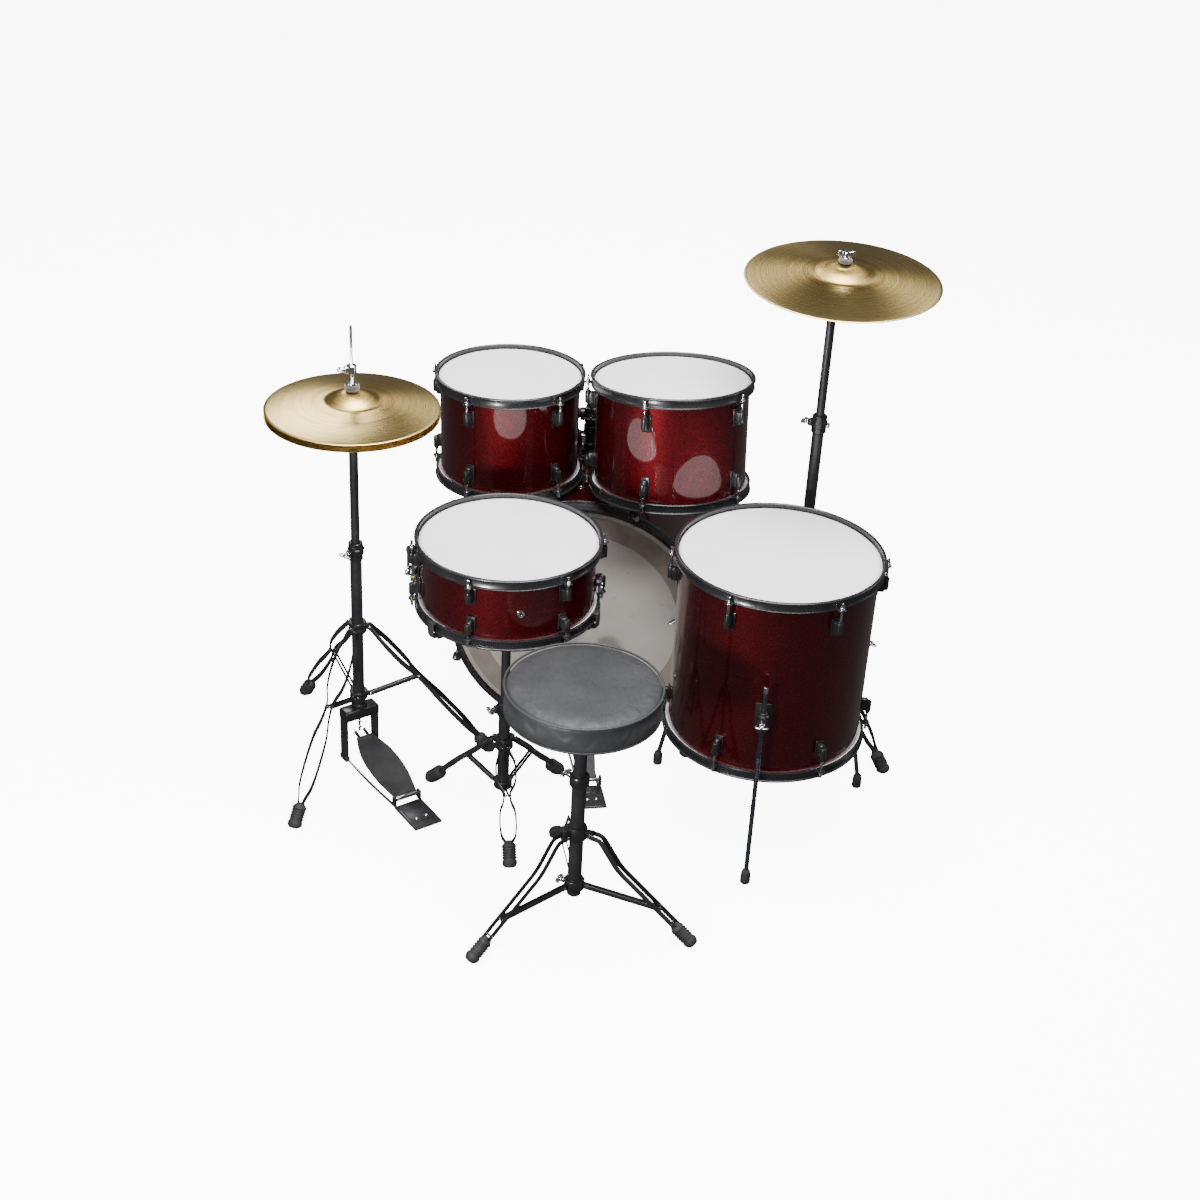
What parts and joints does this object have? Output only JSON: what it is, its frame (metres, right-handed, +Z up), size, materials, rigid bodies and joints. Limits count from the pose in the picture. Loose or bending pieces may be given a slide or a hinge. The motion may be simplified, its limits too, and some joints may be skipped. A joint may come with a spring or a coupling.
{
  "type": "acoustic drum kit",
  "caption": "Compact acoustic drum kit with rack toms, floor tom, snare, bass drum, hi-hats, a crash cymbal, pedals, stands and a round throne.",
  "frame": {"origin": "on the floor, under the middle of the whole kit", "axes": "+Y from the drummer towards the audience along the bass drum's axis, +X to the drummer's right, +Z up"},
  "size_m": [1.38, 1.2386, 1.181],
  "materials": {
    "wine_lacquer": "gloss wrap over ply",
    "drum_head": "coated film",
    "cymbal_bronze": "lathed",
    "chrome_plate": "polished",
    "seat_vinyl": "grained vinyl",
    "seat_board": "painted board",
    "steel_rod": "blued steel",
    "black_enamel": "satin black"
  },
  "bodies": {
    "kit": {"bass_drum_shell": "wine_lacquer", "bass_drum_hoops": "black_enamel", "bass_drum_heads": "drum_head", "bass_drum_lugs": "black_enamel", "bass_drum_claws": "black_enamel", "bass_drum_tom_mount": "black_enamel", "floor_tom_shell": "wine_lacquer", "floor_tom_hoops": "black_enamel", "floor_tom_heads": "drum_head", "floor_tom_lugs": "black_enamel", "snare_stand_base": "black_enamel", "hihat_stand_base": "black_enamel", "hihat_pedal_frame": "black_enamel", "crash_stand_base": "black_enamel", "throne_base": "black_enamel", "kick_pedal_frame": "black_enamel"},
    "spur_left": {"spur_left": "black_enamel"},
    "spur_right": {"spur_right": "black_enamel"},
    "floor_tom_legs": {"floor_tom_legs": "steel_rod"},
    "tom_holder": {"tom_holder": "black_enamel"},
    "rack_tom_left": {"tom_arm_left": "black_enamel", "rack_tom_left_shell": "wine_lacquer", "rack_tom_left_hoops": "black_enamel", "rack_tom_left_heads": "drum_head", "rack_tom_left_lugs": "black_enamel"},
    "rack_tom_right": {"tom_arm_right": "black_enamel", "rack_tom_right_shell": "wine_lacquer", "rack_tom_right_hoops": "black_enamel", "rack_tom_right_heads": "drum_head", "rack_tom_right_lugs": "black_enamel"},
    "snare_stand_tube": {"snare_stand_tube": "black_enamel"},
    "snare": {"snare_stand_basket": "black_enamel", "snare_shell": "wine_lacquer", "snare_hoops": "black_enamel", "snare_heads": "drum_head", "snare_lugs": "black_enamel", "snare_strainer": "chrome_plate", "snare_wires": "chrome_plate"},
    "snare_throw_lever": {"snare_throw_lever": "chrome_plate"},
    "hihat_tube": {"hihat_tube": "black_enamel", "hihat_bottom_cymbal": "cymbal_bronze"},
    "hihat_rod": {"hihat_rod": "chrome_plate", "hihat_top_cymbal": "cymbal_bronze"},
    "hihat_footboard": {"hihat_footboard": "black_enamel"},
    "crash_stand_tube": {"crash_stand_tube": "black_enamel"},
    "crash_tilter": {"crash_tilter": "chrome_plate"},
    "crash_cymbal": {"crash_cymbal": "cymbal_bronze"},
    "throne_collar": {"throne_collar": "black_enamel"},
    "throne_post": {"throne_post": "black_enamel"},
    "throne_seat": {"throne_seat_plate": "seat_board", "throne_cushion": "seat_vinyl"},
    "kick_footboard": {"kick_footboard": "black_enamel"},
    "kick_beater": {"kick_beater": "chrome_plate"},
    "throne_leg_1": {"throne_leg_1": "black_enamel"},
    "throne_brace_1": {"throne_brace_1": "black_enamel"},
    "throne_leg_2": {"throne_leg_2": "black_enamel"},
    "throne_brace_2": {"throne_brace_2": "black_enamel"},
    "throne_leg_3": {"throne_leg_3": "black_enamel"},
    "throne_brace_3": {"throne_brace_3": "black_enamel"}
  },
  "joints": [
    {"name": "spur_right_fold", "type": "hinge", "parent": "kit", "child": "spur_right", "pos_m": [0.27444, 0.50136, 0.293], "axis": [-0.9659, 0, -0.2588], "range_deg": [0, 105]},
    {"name": "spur_left_fold", "type": "hinge", "parent": "kit", "child": "spur_left", "pos_m": [-0.34256, 0.50136, 0.293], "axis": [-0.9659, 0, 0.2588], "range_deg": [0, 105]},
    {"name": "floor_tom_legs_slide", "type": "slide", "parent": "kit", "child": "floor_tom_legs", "axis": [0, 0, 1], "range_m": [0, 0.1]},
    {"name": "tom_holder_height", "type": "slide", "parent": "kit", "child": "tom_holder", "axis": [0, 0, 1], "range_m": [0, 0.06]},
    {"name": "rack_tom_left_tilt", "type": "hinge", "parent": "tom_holder", "child": "rack_tom_left", "pos_m": [-0.07006, 0.48136, 0.68], "axis": [-1, 0, 0], "range_deg": [0, 12]},
    {"name": "rack_tom_right_tilt", "type": "hinge", "parent": "tom_holder", "child": "rack_tom_right", "pos_m": [-0.02206, 0.48136, 0.68], "axis": [-1, 0, 0], "range_deg": [0, 12]},
    {"name": "snare_stand_height", "type": "slide", "parent": "kit", "child": "snare_stand_tube", "axis": [0, 0, 1], "range_m": [-0.05, 0.05]},
    {"name": "snare_tilt", "type": "hinge", "parent": "snare_stand_tube", "child": "snare", "pos_m": [-0.15906, -0.12164, 0.486], "axis": [1, 0, 0], "range_deg": [-8, 8]},
    {"name": "snare_throw_off", "type": "hinge", "parent": "snare", "child": "snare_throw_lever", "pos_m": [-0.36206, -0.12164, 0.578], "axis": [0, -1, 0], "range_deg": [0, 80]},
    {"name": "hihat_height", "type": "slide", "parent": "kit", "child": "hihat_tube", "axis": [0, 0, 1], "range_m": [-0.08, 0]},
    {"name": "hihat_pedal", "type": "slide", "parent": "kit", "child": "hihat_rod", "axis": [0, 0, -1], "range_m": [0, 0.0125], "stiffness_N_per_m": 1000, "springref_m": -0.05},
    {"name": "hihat_footboard_hinge", "type": "hinge", "parent": "kit", "child": "hihat_footboard", "pos_m": [-0.36739, -0.12895, 0.02], "axis": [-0.7771, -0.6293, 0], "range_deg": [0, 3.5]},
    {"name": "crash_height", "type": "slide", "parent": "kit", "child": "crash_stand_tube", "axis": [0, 0, 1], "range_m": [-0.12, 0.08]},
    {"name": "crash_tilt", "type": "hinge", "parent": "crash_stand_tube", "child": "crash_tilter", "pos_m": [0.46594, 0.28036, 1.085], "axis": [1, 0, 0], "range_deg": [-20, 25]},
    {"name": "crash_spin", "type": "hinge", "parent": "crash_tilter", "child": "crash_cymbal", "pos_m": [0.46594, 0.28036, 1.085], "axis": [0, -0.068, 0.9977], "continuous": true},
    {"name": "throne_fold", "type": "hinge", "parent": "kit", "child": "throne_leg_1", "pos_m": [0.01817, -0.40847, 0.2], "axis": [-0.9703, -0.2419, 0], "range_deg": [0, 43]},
    {"name": "throne_leg_2_hinge", "type": "hinge", "parent": "kit", "child": "throne_leg_2", "pos_m": [0.0048, -0.45509, 0.2], "axis": [0.6947, -0.7193, 0], "range_deg": [0, 43.5]},
    {"name": "throne_leg_3_hinge", "type": "hinge", "parent": "kit", "child": "throne_leg_3", "pos_m": [0.05185, -0.44336, 0.2], "axis": [0.2756, 0.9613, 0], "range_deg": [0, 43.5]},
    {"name": "throne_collar_slide", "type": "slide", "parent": "kit", "child": "throne_collar", "axis": [0, 0, 1], "range_m": [0, 0.079]},
    {"name": "throne_brace_1_hinge", "type": "hinge", "parent": "throne_collar", "child": "throne_brace_1", "pos_m": [0.01817, -0.40847, 0.072], "axis": [-0.9703, -0.2419, 0], "range_deg": [0, 80.5]},
    {"name": "throne_brace_2_hinge", "type": "hinge", "parent": "throne_collar", "child": "throne_brace_2", "pos_m": [0.0048, -0.45509, 0.072], "axis": [0.6947, -0.7193, 0], "range_deg": [0, 80.5]},
    {"name": "throne_brace_3_hinge", "type": "hinge", "parent": "throne_collar", "child": "throne_brace_3", "pos_m": [0.05185, -0.44336, 0.072], "axis": [0.2756, 0.9613, 0], "range_deg": [0, 80.5]},
    {"name": "throne_height", "type": "slide", "parent": "kit", "child": "throne_post", "axis": [0, 0, 1], "range_m": [-0.05, 0.08]},
    {"name": "throne_spin", "type": "hinge", "parent": "throne_post", "child": "throne_seat", "pos_m": [0.02494, -0.43564, 0.476], "axis": [0, 0, 1], "continuous": true},
    {"name": "kick_pedal", "type": "hinge", "parent": "kit", "child": "kick_footboard", "pos_m": [0.01723, -0.00934, 0.018], "axis": [-0.9703, -0.2419, 0], "range_deg": [0, 10.2], "stiffness_Nm_per_rad": 4, "springref_deg": -34.38},
    {"name": "kick_beater_swing", "type": "hinge", "parent": "kit", "child": "kick_beater", "pos_m": [-0.02825, 0.17307, 0.15], "axis": [-0.9703, -0.2419, 0], "range_deg": [0, 38.9]}
  ],
  "couplings": [
    {"joint": "hihat_footboard_hinge", "follows": "hihat_pedal", "rad_per_m": 4.673},
    {"joint": "kick_beater_swing", "follows": "kick_pedal", "ratio": 3.8},
    {"joint": "throne_leg_2_hinge", "follows": "throne_fold", "ratio": 1},
    {"joint": "throne_leg_3_hinge", "follows": "throne_fold", "ratio": 1},
    {"joint": "throne_collar_slide", "follows": "throne_fold", "m_per_rad": 0.1042},
    {"joint": "throne_brace_1_hinge", "follows": "throne_fold", "ratio": 1.86},
    {"joint": "throne_brace_2_hinge", "follows": "throne_fold", "ratio": 1.86},
    {"joint": "throne_brace_3_hinge", "follows": "throne_fold", "ratio": 1.86}
  ]
}
